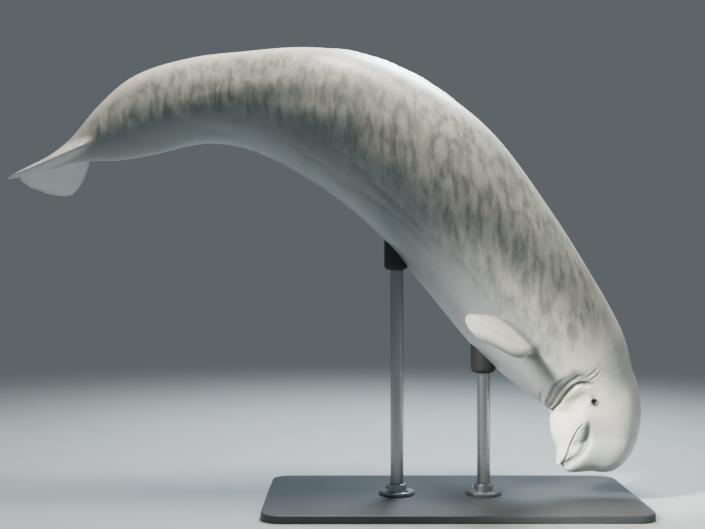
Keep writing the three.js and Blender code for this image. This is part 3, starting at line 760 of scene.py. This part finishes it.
def mark(obj, name, values):
    layer = obj.data.attributes.get(name) or obj.data.attributes.new(name, "FLOAT", "POINT")
    layer.data.foreach_set("value", np.asarray(values, np.float32))


def by_fins(p):
    return (p[:, 0] > 0.6) & (p[:, 0] < 1.1) | (p[:, 0] > 3.2)


for fin in fins:
    apply(skin, "BOOLEAN", operation="UNION", solver="EXACT", object=fin)
    bpy.data.objects.remove(fin)
points = corners(skin)
pick(skin, "VERT", by_fins(points) & (np.abs(body(points)) < MERGE_NEAR))
bpy.ops.mesh.remove_doubles(threshold=MERGE)
bpy.ops.object.mode_set(mode="OBJECT")

# %% Relax the roots
points = corners(skin)
on_fin = (body(points) - relief(points) > ON_BODY) & by_fins(points)
on_fin |= points[:, 0] > TRUNK_END
ends = np.empty((len(skin.data.edges), 2), np.int32)
skin.data.edges.foreach_get("vertices", ends.ravel())
crossing = ends[on_fin[ends[:, 0]] != on_fin[ends[:, 1]]]
from_root = distances(points, by_fins(points), points[crossing].mean(axis=1))
fillet_reach = np.where(points[:, 0] < MID_BODY, FLIPPER_FILLET, FLUKE_FILLET)
pull_weight = 1 - smoothstep(from_root / fillet_reach, 0.3, 1)
neighbours = np.bincount(ends.ravel(), minlength=len(points))[:, None]
for _ in range(RELAXING):
    total = np.zeros_like(points)
    for k in range(3):
        total[:, k] = np.bincount(ends[:, 0], points[ends[:, 1], k], len(points))
        total[:, k] += np.bincount(ends[:, 1], points[ends[:, 0], k], len(points))
    points += (total / neighbours - points) * 0.5 * pull_weight[:, None]
set_corners(skin, points)
print("skin:", len(skin.data.polygons), "faces, root line", len(crossing))

# %% [markdown]
# Marks for the paint
#
# The paint has to know where it is on the whale: on the flank or the underside, how near the edge
# of a fin, how deep in a fold, how near an eyelid. Three of the marks are for painted shade: grey in
# the folds, round the flippers' roots and in the eye sockets, on the underside, on the fins where
# they face down and on the melon's sides, and dappled light and shade on the flanks. Those are
# measured now, on the straight skin, and kept as attributes of its corners. Then place() bends the
# skin into the dive.

# %% Attributes, then the bend
# Widths of the fins' darker rims, of the painted shade round the flippers' roots, and of the lid lines
RIM_WIDE, ROOT_SHADE, LID_LINE = 0.02, 0.022, 0.006
# Painted shade: the fins get this share of the underside's grey where they face down, away from the
# light
FIN_SHADE = 0.7  # how much of the underside's grey the fins have below
MELON_SHADE, MELON_SIDE = 0.75, (0.185, 0.03)  # painted shade on the melon's sides: how much, where
MELON_LONG, MELON_WIDE = 1.5, 0.095
# Painted shade in the hollows: how deep a fold must be to get all of it, and how much the flippers'
# roots and eye sockets get
HOLLOW_DEEP = 0.006  # a fold as deep as this or deeper is grey all through
ROOT_MOST, SOCKET_MOST = 0.75, 0.7  # how grey the flippers' roots and the sockets of the eyes are
# Where the flank's painted streaks of dappled light and shade fade out: angles up from the side, then
# shares of the length
FLANK_LOW, FLANK_HIGH = (-0.95, -0.35), (0.85, 1.35)
FLANK_FRONT, FLANK_REAR = (0.13, 0.2), (0.88, 0.93)
# Where the painted shade on the underside fades in: angles down from the side, then shares of the
# length
UNDER_ANGLES, UNDER_START = (0.05, 0.75), (0.11, 0.14)

rim = bump(distances(points, on_fin, np.concatenate(fin_edges)), RIM_WIDE)
# Painted shade: grey where shade falls in the folds, more the deeper the relief sinks, and round the
# flippers' roots and in the eyes' sockets
hollow_shade = np.clip(-relief(points) / HOLLOW_DEEP, 0, 1) * (np.abs(body(points)) < 0.02)
flipper_root_shade = np.where(points[:, 0] < MID_BODY, bump(from_root, ROOT_SHADE), 0)
hollow_shade = np.maximum(hollow_shade, ROOT_MOST * flipper_root_shade)
lid = np.zeros(len(points))
for centre in eye_spots.values():
    from_eye = points - centre
    away = np.linalg.norm(from_eye, axis=1)
    hollow_shade = np.maximum(hollow_shade, SOCKET_MOST * bump(away - 0.02, 0.014))
    near = away < 0.05
    over, beyond = slit_edge(from_eye[near])
    past_corner = np.maximum(np.abs(over) - SLIT_HALF_LONG, 0)
    lid[near] = bump(np.hypot(past_corner, np.maximum(beyond, 0)), LID_LINE)
share_back = points[:, 0] / LENGTH
around = np.arctan2(points[:, 2], np.abs(points[:, 1]))
# Painted dappled light and shade: grey streaks over the flanks, lighter between them where the painted
# light falls
flank = smoothstep(around, *FLANK_LOW) * (1 - smoothstep(around, *FLANK_HIGH))
flank *= smoothstep(share_back, *FLANK_FRONT) * (1 - smoothstep(share_back, *FLANK_REAR))
flank *= np.abs(body(points)) < 0.03
# Painted shade: grey on the underside, where light from above leaves the body in shade, and on the fins
# where they face down
painted_shade = smoothstep(-around, *UNDER_ANGLES) * smoothstep(share_back, *UNDER_START) * ~on_fin
facing = np.empty(len(points) * 3)
skin.data.vertices.foreach_get("normal", facing)
facing_down = -facing.reshape(-1, 3)[:, 2]
painted_shade = np.maximum(painted_shade, FIN_SHADE * smoothstep(facing_down, 0.1, 0.7) * on_fin)
# Painted shade on the sides of the melon
from_melon = np.hypot((points[:, 0] - MELON_SIDE[0]) / MELON_LONG, points[:, 2] - MELON_SIDE[1])
melon_shade = MELON_SHADE * bump(from_melon, MELON_WIDE)
melon_shade *= smoothstep(np.abs(points[:, 1]), 0.05, 0.11)
painted_shade = np.maximum(painted_shade, melon_shade * (points[:, 0] < HEAD_BACK))
marks = {"flank": flank, "painted_shade": painted_shade, "rim": rim, "hollow_shade": hollow_shade, "lid": lid}
for name, values in marks.items():
    mark(skin, name, values)
set_corners(skin, place(points))
faces_out(skin)  # distances back and X run in opposite ways, so the bend has mirrored the skin
bpy.ops.object.shade_smooth()
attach(skin, "root")
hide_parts("head", "lower_jaw", "neck", "thorax", "abdomen", "loin", "tail_stock",
            "dorsal_ridge", "flipper_left", "flipper_right", "fluke_left", "fluke_right")
print("skin laid in the dive:", [round(v, 3) for v in skin.dimensions])

# %% [markdown]
# Colours and nodes
#
# Colours are picked as sRGB hex values, as from a paint chart, and turned to linear by one
# function. Another adds one shader node with its settings and links.

# %% Helpers for materials
def colour(code):
    """An sRGB hex colour as linear RGBA."""
    parts = [int(code[k:k + 2], 16) / 255 for k in (1, 3, 5)]
    return (*[c / 12.92 if c <= 0.04045 else ((c + 0.055) / 1.055) ** 2.4 for c in parts], 1)


def add_node(tree, kind, inputs=None, **settings):
    """Adds a node; an input is a value, or another node's output to link."""
    made = tree.nodes.new(kind)
    for name, value in settings.items():
        setattr(made, name, value)
    for socket, value in (inputs or {}).items():
        if isinstance(value, bpy.types.NodeSocket):
            tree.links.new(value, made.inputs[socket])
        else:
            made.inputs[socket].default_value = value
    return made


def new_material(name, **values):
    """A material with one Principled shader, and its tree and shader."""
    material = bpy.data.materials.new(name)
    material.use_nodes = True
    shader = material.node_tree.nodes["Principled BSDF"]
    for socket, value in values.items():
        shader.inputs[socket.replace("_", " ").title()].default_value = value
    return material, material.node_tree, shader


# %% [markdown]
# The skin's paint
#
# A grown beluga is white: creamy, with soft cool patches and darker fin edges. Grey shade is
# painted in over that: in its folds, round the flippers' roots and in the eye sockets, on the
# underside, on the fins where they face down and on the melon's sides, with streaks of dappled
# light and shade on the flanks. The model's skin is cast resin with several thin satin coats,
# airbrushed wet in wet, so its patches have no edges. Large and small noise make the patches, fine
# noise makes pores, and the attributes darken rims and place the painted shade.

# %% Satin airbrushed resin
CREAM, COOL_WHITE, SOFT_GREY = colour("#E9E6D8"), colour("#C8D3D1"), colour("#98A6A6")
# The fold, flank and underside greys are painted shade; the rim grey and the lid brown are the skin's
# own colours
FOLD_SHADE_GREY, RIM_GREY, FLANK_SHADE_GREY = colour("#6F7878"), colour("#87949A"), colour("#858B87")
UNDER_SHADE_GREY, LID_BROWN = colour("#78838B"), colour("#33302E")
# Noises: how many spots to a metre, detail and distortion
NOISES = {"patches": (2.6, 3, 0.6), "mottles": (13, 6, 0), "flecks": (70, 3, 0), "pores": (260, 2, 0)}
# Painted dappled light and shade on the flanks: its streaks are drawn out from top to bottom, the way
# the light falls
STREAKS, STREAK_SQUASH = 24, 0.28  # streaks to a metre, drawn out from top to bottom

satin_resin, tree, shader = new_material("satin airbrushed resin", Roughness=0.42, Coat_Weight=0.12,
                                         Coat_Roughness=0.25, Subsurface_Weight=0.06)
shader.inputs["Subsurface Scale"].default_value = 0.02
here = add_node(tree, "ShaderNodeTexCoord").outputs["Object"]
noise = {}
for name, (spots, detail, distortion) in NOISES.items():
    made = add_node(tree, "ShaderNodeTexNoise", {"Vector": here, "Scale": spots, "Detail": detail,
                                                 "Distortion": distortion})
    noise[name] = made.outputs["Fac"]
drop = add_node(tree, "ShaderNodeMapping", {"Vector": here, "Scale": (1, 1, STREAK_SQUASH)})
streaks = add_node(tree, "ShaderNodeTexNoise", {"Vector": drop.outputs[0], "Scale": STREAKS,
                                                "Detail": 4, "Roughness": 0.6, "Distortion": 0.4})
# Each share rises with a noise: the noise's values there, then the least and the most share
RISES = {"cool": (noise["patches"], 0.42, 0.66, 0, 0.75),
         "mottle": (noise["mottles"], 0.5, 0.72, 0, 0.42),
         "streak_shade": (streaks.outputs["Fac"], 0.4, 0.62, 0.36, 0.95)}
shares = {}
for name, (source, low, high, least, most) in RISES.items():
    rise = add_node(tree, "ShaderNodeMapRange", {"Value": source, "From Min": low, "From Max": high,
                                                 "To Min": least, "To Max": most})
    shares[name] = rise.outputs[0]

# %% Its coats, one over the other
# The flank, underside and hollow coats are painted shade and dappled light; the rim and lid coats are
# the skin's own colour
MARK_COATS = [("flank", shares["streak_shade"], FLANK_SHADE_GREY), ("painted_shade", 0.8, UNDER_SHADE_GREY),
              ("rim", 0.6, RIM_GREY), ("hollow_shade", 0.82, FOLD_SHADE_GREY), ("lid", 1, LID_BROWN)]
coats = [(shares["cool"], COOL_WHITE), (shares["mottle"], SOFT_GREY)]
for name, most, tint in MARK_COATS:
    marked = add_node(tree, "ShaderNodeAttribute", attribute_name=name).outputs["Fac"]
    scaled = add_node(tree, "ShaderNodeMath", {0: marked, 1: most}, operation="MULTIPLY")
    coats.append((scaled.outputs[0], tint))
paint = CREAM
for share, tint in coats:
    coat = add_node(tree, "ShaderNodeMix", {0: share, 6: paint, 7: tint}, data_type="RGBA")
    paint = coat.outputs[2]
tree.links.new(paint, shader.inputs["Base Color"])
grain = add_node(tree, "ShaderNodeMath", {0: noise["flecks"], 1: noise["pores"]}, operation="ADD")
skin_bump = add_node(tree, "ShaderNodeBump",
                     {"Height": grain.outputs[0], "Strength": 0.25, "Distance": 0.002})
tree.links.new(skin_bump.outputs["Normal"], shader.inputs["Normal"])
skin.data.materials.clear()
skin.data.materials.append(satin_resin)

# %% [markdown]
# Eyeballs
#
# Museum makers set glass eyes. Each is a ball with a slightly fuller cornea in front, painted
# from behind with a dark brown iris and a black pupil that is wider than high, and it is always
# polished, so it carries a sharp highlight.

# %% Two glass eyes
IRIS_ANGLE, PUPIL_ANGLE, PUPIL_SQUASH = math.radians(36), math.radians(15), 1.6
EYEBALL_RADIUS = EYE_RADIUS - 0.0003
CORNEA_HIGH, CORNEA_WIDE = 0.03, 0.5  # as a share of the radius, and in radians
glass_eye, tree, shader = new_material("polished glass eye", Roughness=0.06, Coat_Weight=1.0,
                                       Coat_Roughness=0.03)
iris = add_node(tree, "ShaderNodeAttribute", attribute_name="iris").outputs["Fac"]
pupil = add_node(tree, "ShaderNodeAttribute", attribute_name="pupil").outputs["Fac"]
with_iris = add_node(tree, "ShaderNodeMix", {0: iris, 6: colour("#0E0B09"), 7: colour("#1C130E")},
                     data_type="RGBA")
with_pupil = add_node(tree, "ShaderNodeMix",
                      {0: pupil, 6: with_iris.outputs[2], 7: colour("#050505")}, data_type="RGBA")
tree.links.new(with_pupil.outputs[2], shader.inputs["Base Color"])
for side_name, centre in eye_spots.items():
    eye, share, turn = ball("eyeball_" + side_name, 64, 48)
    side = np.sign(centre[1])
    from_gaze = share * math.pi
    radius = EYEBALL_RADIUS * (1 + CORNEA_HIGH * bump(from_gaze, CORNEA_WIDE))
    out = np.cos(from_gaze) * side
    across, high = np.sin(from_gaze) * np.cos(turn), np.sin(from_gaze) * np.sin(turn)
    set_corners(eye, place(centre + np.stack([across, out, high], -1) * radius[:, None]))
    oval = np.hypot(across, high * PUPIL_SQUASH)
    mark(eye, "iris", 1 - smoothstep(from_gaze, IRIS_ANGLE * 0.9, IRIS_ANGLE))
    mark(eye, "pupil", 1 - smoothstep(oval, PUPIL_ANGLE * 0.9, PUPIL_ANGLE * 1.1))
    faces_out(eye)
    bpy.ops.object.shade_smooth()
    eye.data.materials.append(glass_eye)
    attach(eye, "root")
    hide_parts("eye_" + side_name)
print("eyes set")

# %% [markdown]
# The stand
#
# The stand is plain, so that it doesn't draw the eye: a powder-coated steel base with round corners,
# two brushed steel rods in bolted flanges, and a black rubber pad on each rod, cut to the belly.
# The base, flanges, rods and pads start as primitives at the size of their CAD nodes, the bolts at
# sizes given here; the base, flanges, bolts and pads are then shaped with edit-mode operators, and the
# rods stay plain cylinders.

# %% Stand metals and rubber
powder_coat, tree, shader = new_material("powder-coated steel", Roughness=0.55)
here = add_node(tree, "ShaderNodeTexCoord").outputs["Object"]
ORANGE_PEEL = 450  # bumps to a metre, coarser than real so that they show
peel = add_node(tree, "ShaderNodeTexNoise", {"Vector": here, "Scale": ORANGE_PEEL, "Detail": 2})
dust = add_node(tree, "ShaderNodeTexNoise", {"Vector": here, "Scale": 3.5, "Detail": 5})
peel_bump = add_node(tree, "ShaderNodeBump",
                     {"Height": peel.outputs["Fac"], "Strength": 0.3, "Distance": 0.0006})
tree.links.new(peel_bump.outputs["Normal"], shader.inputs["Normal"])

brushed_steel, tree, shader = new_material("brushed stainless steel", Metallic=1.0, Roughness=0.3)
here = add_node(tree, "ShaderNodeTexCoord").outputs["Object"]
BRUSH_LINES = 900  # lines to a metre up the rod, coarser than real
stretched = add_node(tree, "ShaderNodeMapping", {"Vector": here, "Scale": (12, 12, BRUSH_LINES)})
lines = add_node(tree, "ShaderNodeTexNoise",
                 {"Vector": stretched.outputs["Vector"], "Scale": 1, "Detail": 3})
line_gloss = add_node(tree, "ShaderNodeMapRange",
                      {"Value": lines.outputs["Fac"], "To Min": 0.22, "To Max": 0.42})
tree.links.new(line_gloss.outputs[0], shader.inputs["Roughness"])

black_rubber, tree, shader = new_material("moulded black rubber", Roughness=0.7)
here = add_node(tree, "ShaderNodeTexCoord").outputs["Object"]
bloom = add_node(tree, "ShaderNodeTexNoise", {"Vector": here, "Scale": 40, "Detail": 4})

TONES = [(powder_coat, dust, "#3A3F43", "#4B5155"), (brushed_steel, lines, "#8D9296", "#C4C8CB"),
         (black_rubber, bloom, "#17181A", "#2B2D2F")]
for material, spots, dark, light in TONES:
    tree = material.node_tree
    tone = add_node(tree, "ShaderNodeMix", {0: spots.outputs["Fac"], 6: colour(dark), 7: colour(light)},
                    data_type="RGBA")
    tree.links.new(tone.outputs[2], tree.nodes["Principled BSDF"].inputs["Base Color"])


# %% Shaping helpers
def step_in_top(obj, inset, rise, edge, segments):
    """Insets the top, raises or sinks what is inside the rim, and rounds the sharp edges."""
    pick(obj, "FACE", [face.normal.z > 0.9 for face in obj.data.polygons])
    bpy.ops.mesh.inset(thickness=inset)
    bpy.ops.mesh.extrude_region_move(TRANSFORM_OT_translate={"value": (0, 0, rise)})
    bpy.ops.object.mode_set(mode="OBJECT")
    apply(obj, "BEVEL", width=edge, segments=segments, limit_method="ANGLE")


def bevel_edges(obj, chosen, width, segments):
    """Rounds the edges for which chosen(height of one end, height of the other) is true."""
    high = [v.co.z for v in obj.data.vertices]
    pick(obj, "EDGE", [chosen(*(high[k] for k in edge.vertices)) for edge in obj.data.edges])
    bpy.ops.mesh.bevel(offset=width, segments=segments, affect="EDGES")
    bpy.ops.object.mode_set(mode="OBJECT")


def settle(obj, material, slot, *nodes):
    only(obj)
    bpy.ops.object.transform_apply()
    obj.data.materials.append(material)
    bpy.ops.object.shade_smooth_by_angle(angle=math.radians(35))
    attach(obj, "root")
    if nodes:
        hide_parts(*nodes)


def cylinder(name, radius, bottom, top, x, vertices=96):
    bpy.ops.mesh.primitive_cylinder_add(vertices=vertices, radius=radius, depth=top - bottom,
                                        location=(x, origin.y, (bottom + top) / 2))
    obj = bpy.context.object
    obj.name = obj.data.name = name
    bpy.ops.object.transform_apply()
    return obj


# %% Base
BASE_CORNER, BASE_EDGE = 0.09, 0.006
LEVEL = 1e-5  # ends whose heights differ by less than this are on one level
bpy.ops.mesh.primitive_cube_add(size=1, location=(base_low + base_high) / 2,
                                scale=base_high - base_low)
base = bpy.context.object
base.name = base.data.name = "stand_base_plate"
bpy.ops.object.transform_apply()
bevel_edges(base, lambda a, b: abs(a - b) > LEVEL, BASE_CORNER, 12)
bevel_edges(base, lambda a, b: abs(a - b) < LEVEL, BASE_EDGE, 3)
settle(base, powder_coat, "stand_base", "stand_base")
print("base:", [round(v, 3) for v in base.dimensions])

# %% Flanges and bolts
NECK_RADIUS, FLANGE_THICK, FLANGE_EDGE = 0.046, 0.018, 0.0025
BOLTS, BOLT_CIRCLE, BOLT_RADIUS, BOLT_HIGH, BOLT_EDGE = 4, 0.066, 0.0085, 0.008, 0.0008
BOLT_SUNK = 0.001  # how deep a bolt's head sits in the flange
SOCKET_RADIUS, SOCKET_DEEP = 0.0045, 0.004


def flange_at(where):
    low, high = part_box("stand_flange_" + where)
    x, radius, top = (low.x + high.x) / 2, (high.x - low.x) / 2, low.z + FLANGE_THICK
    flange = cylinder("stand_flange_plate_" + where, radius, low.z, top, x)
    neck_high = high.z - low.z - FLANGE_THICK
    step_in_top(flange, radius - NECK_RADIUS, neck_high, FLANGE_EDGE, 3)
    settle(flange, brushed_steel, "stand_steel", "stand_flange_" + where)
    for k in range(BOLTS):
        turn = math.radians(360 / BOLTS * (k + 0.5))
        bolt = cylinder(f"stand_bolt_{where}_{k + 1}", BOLT_RADIUS, top - BOLT_SUNK,
                        top + BOLT_HIGH, x, 32)
        step_in_top(bolt, BOLT_RADIUS - SOCKET_RADIUS, -SOCKET_DEEP, BOLT_EDGE, 2)
        bolt.location = (BOLT_CIRCLE * math.cos(turn), BOLT_CIRCLE * math.sin(turn), 0)
        settle(bolt, brushed_steel, "stand_steel")


# %% Rods and pads
PAD_CHAMFER = 0.024
PAD_OVER = 0.04  # how far the uncut pad reaches into the belly


def rod_at(where):
    low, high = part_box("stand_rod_" + where)
    rod = cylinder("stand_tube_" + where, (high.x - low.x) / 2, low.z, high.z, (low.x + high.x) / 2)
    settle(rod, brushed_steel, "stand_steel", "stand_rod_" + where)


def pad_at(where):
    low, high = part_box("stand_pad_" + where)
    pad = cylinder("stand_cushion_" + where, (high.x - low.x) / 2, low.z, high.z + PAD_OVER,
                   (low.x + high.x) / 2)
    bevel_edges(pad, lambda a, b: max(a, b) < low.z + LEVEL, PAD_CHAMFER, 4)
    apply(pad, "BOOLEAN", operation="DIFFERENCE", solver="EXACT", object=skin)
    settle(pad, black_rubber, "stand_rubber", "stand_pad_" + where)


for where in ("front", "rear"):
    flange_at(where)
    rod_at(where)
    pad_at(where)
print("stand built")

# %% [markdown]
# Floor, light and camera
#
# A pale studio floor that melts into the backdrop, as the curved cove of a photo studio does. One
# large soft light above brightens the back and leaves the belly in shade, a rim light from behind
# draws the line of the back, and a narrow, weak one from the upper left rakes over the head and
# brings out its folds. The camera looks level at the whale's right side.

# %% Backdrop and floor
BACKDROP, BACKDROP_STRENGTH = colour("#B4C0C6"), 0.25
COVE_FROM, COVE_TO, COVE_RADIUS = 2.4, 7.5, 60  # the floor melts away between the first two
world = bpy.data.worlds.new("studio")
bpy.context.scene.world = world
world.use_nodes = True
backdrop = world.node_tree.nodes["Background"]
backdrop.inputs["Color"].default_value = BACKDROP
backdrop.inputs["Strength"].default_value = BACKDROP_STRENGTH

bpy.ops.mesh.primitive_circle_add(vertices=96, radius=COVE_RADIUS, fill_type="TRIFAN")
floor = bpy.context.object
floor.name = floor.data.name = "studio_floor"
painted_floor, tree, shader = new_material("painted studio floor", Roughness=0.65)
here = add_node(tree, "ShaderNodeTexCoord").outputs["Object"]
scuffs = add_node(tree, "ShaderNodeTexNoise", {"Vector": here, "Scale": 1.2, "Detail": 6})
floor_colour = add_node(tree, "ShaderNodeMix",
                        {0: scuffs.outputs["Fac"], 6: colour("#A3ABAF"), 7: colour("#ADB4B7")},
                        data_type="RGBA")
tree.links.new(floor_colour.outputs[2], shader.inputs["Base Color"])
from_middle = add_node(tree, "ShaderNodeVectorMath", {0: here}, operation="LENGTH")
cove_share = add_node(tree, "ShaderNodeMapRange",
                      {"Value": from_middle.outputs["Value"], "From Min": COVE_FROM,
                       "From Max": COVE_TO}, interpolation_type="SMOOTHSTEP")
cove = add_node(tree, "ShaderNodeEmission", {"Color": BACKDROP, "Strength": BACKDROP_STRENGTH})
with_cove = add_node(tree, "ShaderNodeMixShader",
                     {0: cove_share.outputs[0], 1: shader.outputs[0], 2: cove.outputs[0]})
surface = next(node for node in tree.nodes if node.type == "OUTPUT_MATERIAL")
tree.links.new(with_cove.outputs[0], surface.inputs["Surface"])
floor.data.materials.append(painted_floor)

# %% Light
def soft_light(name, place_at, aim, size, watts, tint):
    data = bpy.data.lights.new(name, "AREA")
    data.size, data.energy, data.color = size, watts, colour(tint)[:3]
    lamp = bpy.data.objects.new(name, data)
    lamp.location = place_at
    lamp.rotation_euler = (Vector(aim) - Vector(place_at)).to_track_quat("-Z", "Y").to_euler()
    bpy.context.scene.collection.objects.link(lamp)
    print(f"{name} light of {watts} W")


soft_light("key", (0.4, -0.4, 5.2), (0.3, 0, 1.2), 1.2, 360, "#FFF4E4")
soft_light("head", (-1.3, -2.1, 2.2), (1.2, -0.2, 0.32), 0.6, 9, "#FFF8EC")
soft_light("rim", (1.4, 2.6, 4.6), (0.4, 0, 1.3), 1.6, 420, "#E6F4FF")
bpy.data.lights["head"].spread = math.radians(16)

# %% Camera
PHOTO_WIDE, PHOTO_HIGH = 705, 529
PIXEL = 0.004878  # metres that one pixel of the photo spans at the whale
FOCAL = 1000  # focal length in pixels
SENSOR = 36.0
camera_data = bpy.data.cameras.new("camera")
camera_data.sensor_width = SENSOR
camera_data.lens = FOCAL / PHOTO_WIDE * SENSOR
camera = bpy.data.objects.new("camera", camera_data)
MIDDLE_X, FLOOR_ROW = 325, 500  # the pixel column over the part's origin and the floor's row
camera.location = ((PHOTO_WIDE / 2 - MIDDLE_X) * PIXEL + origin.x, -FOCAL * PIXEL,
                   (FLOOR_ROW - PHOTO_HIGH / 2) * PIXEL)
camera.rotation_euler = (math.radians(90), 0, 0)
bpy.context.scene.collection.objects.link(camera)
bpy.context.scene.camera = camera
print("camera at", [round(v, 3) for v in camera.location])
